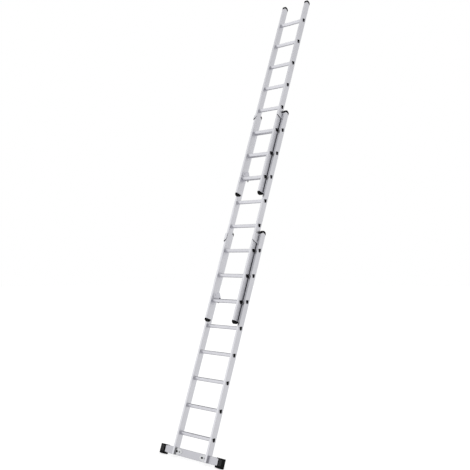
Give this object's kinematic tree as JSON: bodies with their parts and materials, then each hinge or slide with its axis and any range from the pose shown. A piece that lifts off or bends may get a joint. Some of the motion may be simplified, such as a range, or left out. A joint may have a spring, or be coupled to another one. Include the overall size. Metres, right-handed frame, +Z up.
{
  "type": "extension ladder",
  "caption": "Push-up extension ladder in nested box-stile sections with ribbed rungs, hooks, guide brackets and a stabiliser bar on rubber feet.",
  "frame": {"origin": "on the floor midway between the feet, where the base stiles' centre plane meets it", "axes": "+Z up; +Y towards the wall that the ladder leans on; +X to the climber's right; the stiles lean 20 degrees from +Z towards +Y"},
  "size_m": [0.88, 1.7309, 4.947],
  "materials": {
    "stile": "brushed extrusion, drawn along its length",
    "rung": "satin extruded tube with a ribbed tread",
    "rung_plug": "black moulded plug",
    "end_cap": "black moulded cap, fine grain",
    "stabiliser": "brushed extrusion",
    "bracket": "zinc-plated sheet",
    "fastener": "dark zinc-plated steel",
    "foot_rubber": "matt moulded rubber",
    "guide": "pressed sheet",
    "hook": "pressed and deburred plate",
    "catch": "dark coated steel"
  },
  "bodies": {
    "base": {"base_stile_left": "stile", "base_stile_right": "stile", "base_rung_1": "rung", "base_rung_2": "rung", "base_rung_3": "rung", "base_rung_4": "rung", "base_rung_5": "rung", "base_rung_6": "rung", "base_rung_7": "rung", "base_rung_8": "rung", "base_rung_plugs": "rung_plug", "base_top_caps": "end_cap", "base_bottom_caps": "end_cap", "base_guide_left": "guide", "base_guide_right": "guide", "base_rivets": "fastener", "stabiliser_bar": "stabiliser", "stabiliser_bracket_left": "bracket", "stabiliser_bracket_right": "bracket", "stabiliser_bolts": "fastener", "foot_left": "foot_rubber", "foot_right": "foot_rubber"},
    "middle": {"middle_stile_left": "stile", "middle_stile_right": "stile", "middle_rung_1": "rung", "middle_rung_2": "rung", "middle_rung_3": "rung", "middle_rung_4": "rung", "middle_rung_5": "rung", "middle_rung_6": "rung", "middle_rung_7": "rung", "middle_rung_8": "rung", "middle_rung_plugs": "rung_plug", "middle_top_caps": "end_cap", "middle_bottom_caps": "end_cap", "middle_guide_left": "guide", "middle_guide_right": "guide", "middle_rivets": "fastener", "middle_hook_left": "hook", "middle_hook_right": "hook"},
    "top": {"top_stile_left": "stile", "top_stile_right": "stile", "top_rung_1": "rung", "top_rung_2": "rung", "top_rung_3": "rung", "top_rung_4": "rung", "top_rung_5": "rung", "top_rung_6": "rung", "top_rung_7": "rung", "top_rung_8": "rung", "top_rung_plugs": "rung_plug", "top_top_caps": "end_cap", "top_bottom_caps": "end_cap", "top_rivets": "fastener", "top_hook_left": "hook", "top_hook_right": "hook"},
    "middle_catch_left": {"middle_catch_left": "catch"},
    "middle_catch_right": {"middle_catch_right": "catch"},
    "top_catch_left": {"top_catch_left": "catch"},
    "top_catch_right": {"top_catch_right": "catch"}
  },
  "joints": [
    {"name": "middle_slide", "type": "slide", "parent": "base", "child": "middle", "axis": [0, 0.342, 0.9397], "range_m": [-1.4, 0.28]},
    {"name": "top_slide", "type": "slide", "parent": "middle", "child": "top", "axis": [0, 0.342, 0.9397], "range_m": [-1.4, 0.28]},
    {"name": "middle_catch_left_pivot", "type": "hinge", "parent": "middle", "child": "middle_catch_left", "pos_m": [-0.1781, 0.59398, 1.55886], "axis": [1, 0, 0], "range_deg": [0, 20], "stiffness_Nm_per_rad": 0.05, "springref_deg": -22.92},
    {"name": "middle_catch_right_pivot", "type": "hinge", "parent": "middle", "child": "middle_catch_right", "pos_m": [0.1781, 0.59398, 1.55886], "axis": [1, 0, 0], "range_deg": [0, 20], "stiffness_Nm_per_rad": 0.05, "springref_deg": -22.92},
    {"name": "top_catch_left_pivot", "type": "hinge", "parent": "top", "child": "top_catch_left", "pos_m": [-0.1431, 1.01322, 2.87443], "axis": [1, 0, 0], "range_deg": [0, 20], "stiffness_Nm_per_rad": 0.05, "springref_deg": -22.92},
    {"name": "top_catch_right_pivot", "type": "hinge", "parent": "top", "child": "top_catch_right", "pos_m": [0.1431, 1.01322, 2.87443], "axis": [1, 0, 0], "range_deg": [0, 20], "stiffness_Nm_per_rad": 0.05, "springref_deg": -22.92}
  ]
}
